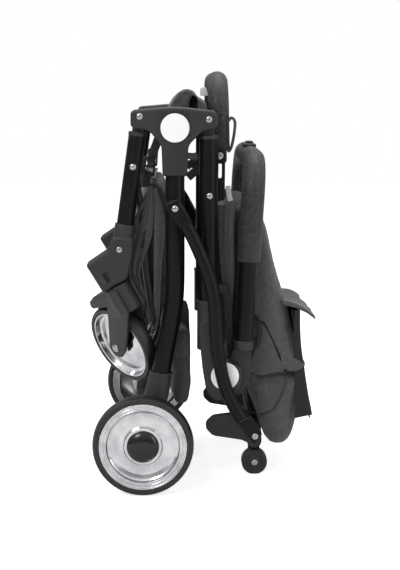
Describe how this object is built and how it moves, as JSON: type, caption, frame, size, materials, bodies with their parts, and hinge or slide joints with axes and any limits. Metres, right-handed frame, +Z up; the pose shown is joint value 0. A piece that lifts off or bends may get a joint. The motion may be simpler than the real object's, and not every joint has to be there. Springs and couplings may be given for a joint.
{
  "type": "stroller",
  "caption": "Compact cabin stroller, shown folded and standing by itself on its rear wheels and stand feet.",
  "frame": {"origin": "on the floor under the middle of the folded product's bounding box", "axes": "+Z up, -X towards the stroller's front, -Y towards its left side (the side nearest in the picture)"},
  "size_m": [0.3448, 0.4454, 0.6213],
  "materials": {
    "black_tube": "satin black powder coat",
    "bright_steel": "bright zinc-plated wire",
    "charcoal_plastic": "matte charcoal moulded plastic",
    "chrome_dish": "bright plated dish",
    "grip_leatherette": "black pebble-grained leatherette",
    "melange_cloth": "dark grey melange woven cloth",
    "tyre_rubber": "matte black solid rubber",
    "webbing": "grey woven webbing",
    "white_disc": "plain white cap"
  },
  "bodies": {
    "frame": {"hub_l": "charcoal_plastic", "hub_r": "charcoal_plastic", "rear_leg_l": "black_tube", "rear_leg_r": "black_tube", "rear_socket_l": "charcoal_plastic", "rear_socket_r": "charcoal_plastic", "hub_disc_l": "white_disc", "hub_disc_r": "white_disc", "rear_axle_bar": "black_tube", "seat_top_cloth": "melange_cloth", "basket": "melange_cloth"},
    "rear_wheel_l": {"rear_tyre_l": "tyre_rubber", "rear_rim_l": "chrome_dish", "rear_wheel_cap_l": "charcoal_plastic"},
    "rear_wheel_r": {"rear_tyre_r": "tyre_rubber", "rear_rim_r": "chrome_dish", "rear_wheel_cap_r": "charcoal_plastic"},
    "brake": {"brake_pedal": "charcoal_plastic"},
    "front": {"front_leg_l": "black_tube", "front_leg_r": "black_tube", "front_shoe_l": "charcoal_plastic", "front_shoe_r": "charcoal_plastic", "footrest_bar": "black_tube"},
    "caster_l": {"caster_fork_l": "charcoal_plastic"},
    "caster_r": {"caster_fork_r": "charcoal_plastic"},
    "front_wheel_l": {"front_tyre_l": "tyre_rubber", "front_rim_l": "chrome_dish"},
    "front_wheel_r": {"front_tyre_r": "tyre_rubber", "front_rim_r": "chrome_dish"},
    "handle": {"handle_lower_l": "black_tube", "handle_lower_r": "black_tube", "hinge_lower_l": "charcoal_plastic", "hinge_lower_r": "charcoal_plastic", "hinge_disc_l": "white_disc", "hinge_disc_r": "white_disc", "bumper_bracket_l": "black_tube", "bumper_bracket_r": "black_tube", "backrest_pad": "melange_cloth", "canopy_rear": "melange_cloth"},
    "upper_handle": {"handle_upper_l": "black_tube", "handle_upper_r": "black_tube", "hinge_upper_l": "charcoal_plastic", "hinge_upper_r": "charcoal_plastic", "handle_grip": "grip_leatherette", "fold_button_base": "charcoal_plastic"},
    "fold_button": {"fold_button": "charcoal_plastic"},
    "bumper": {"bumper_bar": "grip_leatherette"},
    "stay": {"stay_bar_l": "black_tube", "stay_bar_r": "black_tube", "stay_crossbar": "black_tube", "stand_bracket_l": "charcoal_plastic", "stand_bracket_r": "charcoal_plastic", "stand_foot_l": "charcoal_plastic", "stand_foot_r": "charcoal_plastic"},
    "visor": {"canopy_visor": "melange_cloth", "canopy_bow": "bright_steel"},
    "seat": {"seat_frame": "black_tube", "seat_pad": "melange_cloth", "harness": "webbing"}
  },
  "joints": [
    {"name": "handle_fold", "type": "hinge", "parent": "frame", "child": "handle", "pos_m": [0.0064, 0, 0.5518], "axis": [0, -1, 0], "range_deg": [0, 97]},
    {"name": "front_fold", "type": "hinge", "parent": "frame", "child": "front", "pos_m": [-0.0933, 0, 0.5559], "axis": [0, -1, 0], "range_deg": [-84.89, 0]},
    {"name": "stay_fold", "type": "hinge", "parent": "frame", "child": "stay", "pos_m": [-0.0426, 0, 0.4252], "axis": [0, -1, 0], "range_deg": [0, 65.49]},
    {"name": "upper_fold", "type": "hinge", "parent": "handle", "child": "upper_handle", "pos_m": [0.0316, 0, 0.173], "axis": [0, -1, 0], "range_deg": [-177.04, 0]},
    {"name": "bumper_fold", "type": "hinge", "parent": "handle", "child": "bumper", "pos_m": [0.0234, 0, 0.4979], "axis": [0, -1, 0], "range_deg": [-63.55, 0]},
    {"name": "seat_fold", "type": "hinge", "parent": "front", "child": "seat", "pos_m": [-0.10355, 0, 0.48312], "axis": [0, -1, 0], "range_deg": [0, 125.63]},
    {"name": "canopy_visor_hinge", "type": "hinge", "parent": "handle", "child": "visor", "pos_m": [0.0324, 0, 0.3], "axis": [0, -1, 0], "range_deg": [0, 30]},
    {"name": "caster_swivel_l", "type": "hinge", "parent": "front", "child": "caster_l", "pos_m": [-0.13033, -0.163, 0.3076], "axis": [-0.5, 0, 0.866], "range_deg": [-10, 60]},
    {"name": "caster_swivel_r", "type": "hinge", "parent": "front", "child": "caster_r", "pos_m": [-0.13033, 0.163, 0.3076], "axis": [-0.5, 0, 0.866], "range_deg": [-60, 10]},
    {"name": "front_wheel_spin_l", "type": "hinge", "parent": "caster_l", "child": "front_wheel_l", "pos_m": [-0.12075, -0.10949, 0.21037], "axis": [-0.6916, -0.6018, -0.3993], "continuous": true},
    {"name": "front_wheel_spin_r", "type": "hinge", "parent": "caster_r", "child": "front_wheel_r", "pos_m": [-0.12075, 0.10949, 0.21037], "axis": [0.6916, -0.6018, 0.3993], "continuous": true},
    {"name": "rear_wheel_spin_l", "type": "hinge", "parent": "frame", "child": "rear_wheel_l", "pos_m": [-0.0898, -0.2055, 0.075], "axis": [0, -1, 0], "continuous": true},
    {"name": "rear_wheel_spin_r", "type": "hinge", "parent": "frame", "child": "rear_wheel_r", "pos_m": [-0.0898, 0.2055, 0.075], "axis": [0, -1, 0], "continuous": true},
    {"name": "brake_press", "type": "hinge", "parent": "frame", "child": "brake", "pos_m": [-0.0898, 0, 0.075], "axis": [0, -1, 0], "range_deg": [0, 22]},
    {"name": "fold_button_press", "type": "slide", "parent": "upper_handle", "child": "fold_button", "axis": [0, 0, -1], "range_m": [0, 0.003], "stiffness_N_per_m": 200, "springref_m": -0.0005}
  ],
  "couplings": [
    {"joint": "front_fold", "follows": "handle_fold", "ratio": -0.87},
    {"joint": "stay_fold", "follows": "handle_fold", "ratio": 0.67},
    {"joint": "upper_fold", "follows": "handle_fold", "ratio": -1.82},
    {"joint": "bumper_fold", "follows": "handle_fold", "ratio": -0.65},
    {"joint": "seat_fold", "follows": "handle_fold", "ratio": 1.29}
  ]
}
